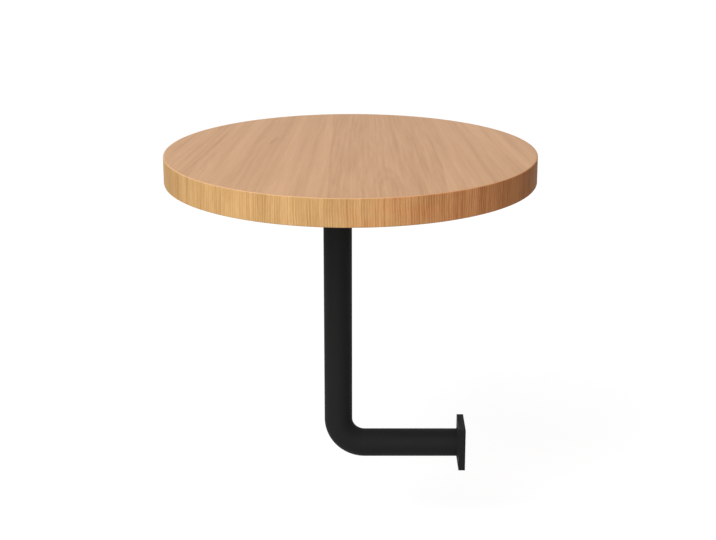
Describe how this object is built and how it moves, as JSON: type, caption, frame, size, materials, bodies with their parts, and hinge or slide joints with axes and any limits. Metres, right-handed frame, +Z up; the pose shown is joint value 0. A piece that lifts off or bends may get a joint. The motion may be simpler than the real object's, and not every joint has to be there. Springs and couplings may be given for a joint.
{
  "type": "wall table",
  "caption": "Round table with a thick wood-veneered top on a black L-shaped steel tube frame that cantilevers from a square plate bolted to a low wall or panel.",
  "frame": {"origin": "centre of the wall plate's back face, on the axis of the arm", "axes": "+X into the wall, +Z up, so the arm, the column and the top stand out along -X"},
  "size_m": [0.65, 0.65, 0.5902],
  "materials": {
    "face_veneer": "satin lacquered light veneer",
    "edge_veneer": "satin lacquered upright grain",
    "backing_veneer": "matt lacquered plain veneer",
    "core_board": "raw pressed wood board",
    "black_powder_coat": "satin powder coat",
    "zinc_steel": "zinc plated"
  },
  "bodies": {
    "root": {"wall_plate": "black_powder_coat", "arm_fillet_weld": "black_powder_coat", "arm_tube": "black_powder_coat", "arm_butt_weld": "black_powder_coat", "elbow": "black_powder_coat", "column_butt_weld": "black_powder_coat", "column_tube": "black_powder_coat", "column_fillet_weld": "black_powder_coat", "top_plate": "black_powder_coat", "plate_washers": "zinc_steel", "plate_screws": "zinc_steel", "threaded_inserts": "zinc_steel", "backing_veneer": "backing_veneer", "lower_core_board": "core_board", "upper_core_board": "core_board", "edge_band": "edge_veneer", "face_leaf_1": "face_veneer", "face_leaf_2": "face_veneer", "face_leaf_3": "face_veneer", "face_leaf_4": "face_veneer"}
  },
  "joints": []
}
